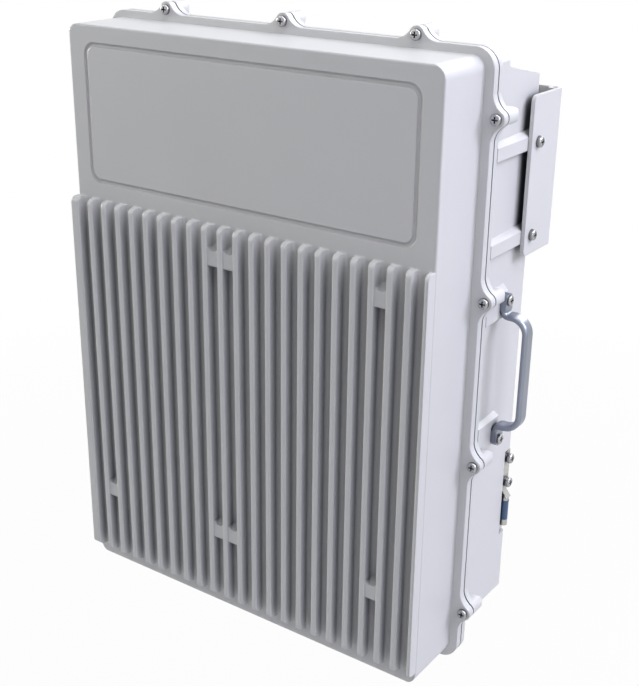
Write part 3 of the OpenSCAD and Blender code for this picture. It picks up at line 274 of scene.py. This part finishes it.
def relief(tree, grain, bump, edge, engraved):
    soft = add(tree, "ShaderNodeBevel", Radius=edge)
    soft.samples = BEVEL_SAMPLES
    normal = soft.outputs["Normal"]
    if engraved:
        sunk = add(tree, "ShaderNodeBump", Strength=LINE_STRENGTH, Distance=1.0,
                   Height=engraved(tree), Normal=normal)
        normal = sunk.outputs["Normal"]
    raised = add(tree, "ShaderNodeBump", Strength=bump, Distance=GRAIN_HEIGHT, Height=grain, Normal=normal)
    return raised.outputs["Normal"]


print("grain up to", GRAIN_HEIGHT * 1000, "mm high")

# %% [markdown]
# ## From effects to a surface
#
# Every finish on this part is built alike, so one function makes them all. The cloud shifts the colour and
# the roughness a little, painted shade darkens the colour in nooks, and the relief goes to the normal.

# %% Build a surface
def surface(name, kind, dark, light, rough, rough_span, bump, edge,
            metallic=0.0, painted_shade_colour=None, near=None, clear=None, engraved=None):
    material, tree, shader = new_material(name)
    effect = place_effect(tree, grain_and_cloud, **kind)
    tone = mix_colour(tree, effect["Cloud"], (*dark, 1), (*light, 1))
    # Painted shade: where the part is closed in, the colour turns to the dark shade colour.
    if near:
        kept_clear = clear(tree) if clear else 0.0
        bare = place_effect(tree, painted_nook_shade, **near, Clear=kept_clear)["Open"]
        tone = mix_colour(tree, bare, (*painted_shade_colour, 1), tone)
    gloss = stretch_value(tree, effect["Cloud"], To_Min=rough - rough_span, To_Max=rough + rough_span)
    feed(tree, shader.inputs["Base Color"], tone)
    feed(tree, shader.inputs["Roughness"], gloss)
    feed(tree, shader.inputs["Normal"], relief(tree, effect["Grain"], bump, edge, engraved))
    feed(tree, shader.inputs["Metallic"], metallic)
    return material


print("surfaces are made by", surface.__name__)

# %% [markdown]
# ## Powder coat
#
# Both castings and the bracket wear the same light grey powder coat, half matt. One material could serve all
# three, but the fins are rounded over more than the flanges and the folded sheet, and the engraved line is on
# the cover alone. So the cover has a coat of its own, made from the same values. Both coats darken their
# corners with the same painted shade, a dark blue grey, and on the cover it is kept to the fin channels.

# %% Coat the castings and the bracket
COAT = {
    "kind": PEBBLE,
    "dark": (0.60, 0.60, 0.60),
    "light": (0.64, 0.64, 0.64),
    "rough": 0.42,
    "rough_span": 0.05,
    "bump": 0.10,
    # Colour of the painted shade in nooks and corners, a dark blue grey.
    "painted_shade_colour": (0.05, 0.057, 0.078),
    "near": CORNER_PAINTED_SHADE,
}
fin_coat = surface("powder_coat_fins", **COAT, edge=0.0016, clear=outside_fins, engraved=line_height)
coat = surface("powder_coat", **COAT, edge=0.0006)
print("coats:", fin_coat.name, coat.name)

# %% [markdown]
# ## Bare metal outside
#
# The screws are stainless steel, the handles satin aluminium with a cool cast, and the lug tinned copper. In
# a white studio polished metal turns white all over, so their tones are kept low, and painted shade darkens
# the crosses in the screw heads and the corners of the handles.

# %% Make the outer metals
# Each metal's last colour is the painted shade in its crosses and corners.
steel = surface("stainless", DRAWN, dark=(0.34, 0.34, 0.35), light=(0.44, 0.44, 0.45),
                rough=0.22, rough_span=0.06, bump=0.05, edge=0.0002, metallic=1.0,
                painted_shade_colour=(0.02, 0.02, 0.025), near=CROSS_PAINTED_SHADE)
satin = surface("satin_aluminium", DRAWN, dark=(0.24, 0.26, 0.32), light=(0.32, 0.34, 0.40),
                rough=0.30, rough_span=0.05, bump=0.06, edge=0.0006, metallic=1.0,
                painted_shade_colour=(0.04, 0.045, 0.07), near=CORNER_PAINTED_SHADE)
tin = surface("tinned_copper", DRAWN, dark=(0.44, 0.44, 0.42), light=(0.54, 0.54, 0.52),
              rough=0.26, rough_span=0.06, bump=0.06, edge=0.0003, metallic=1.0,
              painted_shade_colour=(0.04, 0.04, 0.045), near=CROSS_PAINTED_SHADE)
print("outer metals:", steel.name, satin.name, tin.name)

# %% [markdown]
# ## Seal, connectors and gland
#
# A black rubber seal shows as a thin dark line between the flanges. Under the housing sit two nickel-plated
# connectors with white insulators, and a gland and a breather of black nylon. They show only from below, but
# a part is looked at from all sides, so they get the same care.

# %% Make the seal's and the underside's finishes
rubber = surface("seal_rubber", PEBBLE, dark=(0.045, 0.045, 0.047), light=(0.07, 0.07, 0.07),
                 rough=0.7, rough_span=0.08, bump=0.2, edge=0.0002)
nickel = surface("nickel_brass", DRAWN, dark=(0.60, 0.57, 0.50), light=(0.70, 0.67, 0.60),
                 rough=0.25, rough_span=0.05, bump=0.05, edge=0.0003, metallic=1.0)
insulator = surface("white_insulator", PEBBLE, dark=(0.78, 0.78, 0.76), light=(0.86, 0.86, 0.84),
                    rough=0.5, rough_span=0.05, bump=0.05, edge=0.0003)
nylon = surface("black_nylon", PEBBLE, dark=(0.018, 0.018, 0.02), light=(0.035, 0.035, 0.038),
                rough=0.5, rough_span=0.08, bump=0.2, edge=0.0005)
print("seal and underside:", rubber.name, nickel.name, insulator.name, nylon.name)

# %% [markdown]
# ## The modules inside
#
# The closed box hides an amplifier on a soft heat pad, a filter, a board with shield cans and a power supply.
# They could share one grey, but someone who opens the part should be able to tell them apart. So each has the
# finish such a module has: milled metal, green board, tinned sheet or brass.

# %% Make the inner finishes
milled = surface("milled_aluminium", DRAWN, dark=(0.62, 0.63, 0.64), light=(0.72, 0.73, 0.74),
                 rough=0.35, rough_span=0.06, bump=0.08, edge=0.0004, metallic=1.0)
soft_pad = surface("soft_pad", PEBBLE, dark=(0.36, 0.42, 0.48), light=(0.42, 0.48, 0.54),
                   rough=0.8, rough_span=0.05, bump=0.1, edge=0.0003)
board = surface("circuit_board", PEBBLE, dark=(0.012, 0.09, 0.045), light=(0.02, 0.13, 0.07),
                rough=0.4, rough_span=0.06, bump=0.05, edge=0.0002)
sheet = surface("tinned_sheet", DRAWN, dark=(0.66, 0.66, 0.65), light=(0.76, 0.76, 0.75),
                rough=0.3, rough_span=0.05, bump=0.05, edge=0.0003, metallic=1.0)
brass = surface("plain_brass", DRAWN, dark=(0.62, 0.46, 0.18), light=(0.72, 0.55, 0.24),
                rough=0.28, rough_span=0.06, bump=0.05, edge=0.0003, metallic=1.0)
print("inside:", milled.name, soft_pad.name, board.name, sheet.name, brass.name)

# %% [markdown]
# ## The lug's blue band
#
# A ground lug carries a band of colour on its barrel. A sleeve would be one more piece, and a painted band
# has no thickness to speak of, so it is a mask on the height, with no metal under the paint.

# %% Paint the band
BAND_LOW, BAND_HIGH = -0.2935, -0.2755
BAND_BLUE = (0.05, 0.10, 0.19, 1)


def paint_band(material, low, high, colour):
    tree = material.node_tree
    shader = tree.nodes["Principled BSDF"]
    height = own_place(tree)["Z"]
    over = calc(tree, "GREATER_THAN", height, low)
    under = calc(tree, "LESS_THAN", height, high)
    band = calc(tree, "MULTIPLY", over, under)
    metal = shader.inputs["Base Color"].links[0].from_socket
    feed(tree, shader.inputs["Base Color"], mix_colour(tree, band, metal, colour))
    feed(tree, shader.inputs["Metallic"], calc(tree, "SUBTRACT", 1.0, band))


paint_band(tin, BAND_LOW, BAND_HIGH, BAND_BLUE)
print("blue band", round((BAND_HIGH - BAND_LOW) * 1000, 1), "mm high")

# %% [markdown]
# ## Dress the nodes
#
# Materials could be picked face by face, but each CAD node is one kind of piece with one finish. So a list
# from finish to node names is all it takes.

# %% Give every node its finish
LOOKS = {
    fin_coat: ["front_cover"],
    coat: ["rear_housing", "wall_bracket"],
    rubber: ["cover_seal", "gland_ring"],
    steel: ["cover_screws", "handle_screws", "bracket_screws", "bracket_washers", "ground_bolts",
            "ground_spring_washers", "ground_flat_washers", "connector_screws", "amplifier_screws",
            "filter_screws", "board_screws", "supply_screws"],
    satin: ["right_handle", "left_handle"],
    tin: ["ground_lug"],
    nickel: ["connector_bodies"],
    insulator: ["connector_inserts"],
    nylon: ["gland_body", "gland_nut", "breather_plug"],
    milled: ["power_amplifier", "cavity_filter", "filter_lid", "power_supply"],
    soft_pad: ["thermal_pad"],
    board: ["main_board"],
    sheet: ["shield_cans", "supply_cover"],
    brass: ["board_standoffs", "tuning_screws"],
}
for material, names in LOOKS.items():
    for name in names:
        mesh = nodes[name].data
        mesh.materials.clear()
        mesh.materials.append(material)
print("dressed", sum(len(names) for names in LOOKS.values()), "nodes")

# %% [markdown]
# ## White that casts no light
#
# The photograph has a white background. Strong lamps on a white wall would give it, but they would bleach the
# coat too. Light Path tells what kind of ray meets a surface, so the floor and the world can be white only to
# the camera, to mirrors and to glass.

# %% Mark the rays that see white
WHITE = (1, 1, 1, 1)


def seen_white(tree):
    rays = tree.nodes.new("ShaderNodeLightPath").outputs
    direct = calc(tree, "MAXIMUM", rays["Is Camera Ray"], rays["Is Transmission Ray"])
    return calc(tree, "MAXIMUM", direct, rays["Is Glossy Ray"])


def blend_shaders(tree, share, plain, white):
    made = tree.nodes.new("ShaderNodeMixShader")
    for socket, value in zip(made.inputs, (share, plain, white)):
        feed(tree, socket, value)
    return made.outputs["Shader"]


print("white helpers:", seen_white.__name__, blend_shaders.__name__)

# %% [markdown]
# ## The floor
#
# The enclosure hangs, so the floor lies well under it and takes only a faint shadow. A wall behind it could
# close the view, but the world is white already, and a plain wide sheet is enough.

# %% Lay the floor
FLOOR_Z = -0.95
FLOOR_SIZE = 12

bpy.ops.mesh.primitive_plane_add(size=FLOOR_SIZE, location=(0, 0, FLOOR_Z))
floor = bpy.context.object
floor.name = "studio_floor"
print("floor at", FLOOR_Z, "m")

# %% [markdown]
# Near the part a tenth of the floor's own shading stays visible, which keeps the shadow. Further out it fades
# to plain white, so no horizon shows.

# %% Paint the floor
FLOOR_TONE = (0.8, 0.8, 0.8, 1)
FLOOR_ROUGH = 0.9
GLOW_SHARE = 0.90
FADE_START, FADE_END = 0.6, 2.2

floor_white, tree, shader = new_material("studio_white")
feed(tree, shader.inputs["Base Color"], FLOOR_TONE)
feed(tree, shader.inputs["Roughness"], FLOOR_ROUGH)
feed(tree, shader.inputs["Specular IOR Level"], 0.0)
glow = add(tree, "ShaderNodeEmission", Color=WHITE, Strength=1.0)
away = tree.nodes.new("ShaderNodeVectorMath")
away.operation = "LENGTH"
feed(tree, away.inputs[0], tree.nodes.new("ShaderNodeTexCoord").outputs["Object"])
fade = stretch_value(tree, away.outputs["Value"], From_Min=FADE_START, From_Max=FADE_END, To_Min=GLOW_SHARE)
share = calc(tree, "MULTIPLY", seen_white(tree), fade)
both = blend_shaders(tree, share, shader.outputs["BSDF"], glow.outputs["Emission"])
feed(tree, tree.nodes["Material Output"].inputs["Surface"], both)
floor.data.materials.append(floor_white)
print("floor fades to white", FADE_END, "m out")

# %% [markdown]
# ## The world
#
# The world is the air of the studio. A picture of a real studio could fill it, but it would bring its own
# lamps along. So it is plain: white to the rays that see white, and a very dim cool grey to all others, so
# that the lamps draw the fins.

# %% Fill the world
WORLD_TINT = (0.94, 0.96, 1.0, 1)
WORLD_STRENGTH = 0.08

world = bpy.data.worlds.new("studio_world")
bpy.context.scene.world = world
world.use_nodes = True
tree = world.node_tree
tree.nodes.clear()
plain = add(tree, "ShaderNodeBackground", Color=WORLD_TINT, Strength=WORLD_STRENGTH)
white = add(tree, "ShaderNodeBackground", Color=WHITE, Strength=1.0)
both = blend_shaders(tree, seen_white(tree), plain.outputs["Background"], white.outputs["Background"])
add(tree, "ShaderNodeOutputWorld", Surface=both)
print("world strength", WORLD_STRENGTH)

# %% [markdown]
# ## The lamps
#
# In the photograph the right side is brightest and a little blue, the top comes next, and the front is an
# even mid grey. Round soft lamps give that without hard shadows. The key stands high on the right and
# somewhat behind, where it can't shine into the channels. A low lamp far on the left grazes the front and
# picks out the fins' left edges, and one behind keeps the rear readable. The strengths were matched to the
# photograph.

# %% Choose the lamps
BODY = Vector((0.0, -0.1, -0.15))
COOL, COOL_FRONT, PALE_BLUE = (0.84, 0.85, 1.0), (0.85, 0.86, 1.0), (0.92, 0.93, 1.0)
NEAR_WHITE, FAINT_GREEN, FAINT_YELLOW = (0.97, 0.98, 1.0), (0.99, 1.0, 0.98), (1.0, 1.0, 0.95)
PURE_WHITE = (1.0, 1.0, 1.0)

# Each lamp has a name, a place, a width in metres, a power in watts and a colour.
LAMPS = [
    ("key_right", (1.86, 0.78, 1.2), 1.2, 36.0, COOL),
    ("right_front", (1.88, -1.1, 0.6), 1.2, 11.5, COOL_FRONT),
    ("top_right", (1.32, -0.1, 1.6), 1.2, 15.0, PALE_BLUE),
    ("top_front", (0.22, -0.76, 1.93), 1.0, 12.5, NEAR_WHITE),
    ("left_high", (-1.34, -1.22, 1.2), 1.2, 6.5, FAINT_GREEN),
    ("far_left", (-2.12, -0.55, 0.3), 0.6, 21.0, FAINT_YELLOW),
    ("rear_top", (0.22, 1.66, 1.2), 1.5, 20.0, PURE_WHITE),
]
print("power of all lamps:", sum(watts for _, _, _, watts, _ in LAMPS), "W")

# %% [markdown]
# A lamp shines along its own minus Z axis. A constraint could aim it, but a turn worked out once is enough
# for a lamp that stays where it is.

# %% Hang the lamps
def hang_lamp(name, place, width, watts, colour):
    data = bpy.data.lights.new(name, "AREA")
    data.shape = "DISK"
    data.size = width
    data.energy = watts
    data.color = colour
    made = bpy.data.objects.new(name, data)
    made.location = place
    made.rotation_euler = (BODY - Vector(place)).to_track_quat("-Z", "Y").to_euler()
    bpy.context.scene.collection.objects.link(made)


for lamp in LAMPS:
    hang_lamp(*lamp)
print("lamps hung:", len(LAMPS))

# %% [markdown]
# ## Last step
#

# %% Finish
print("the scene is dressed")
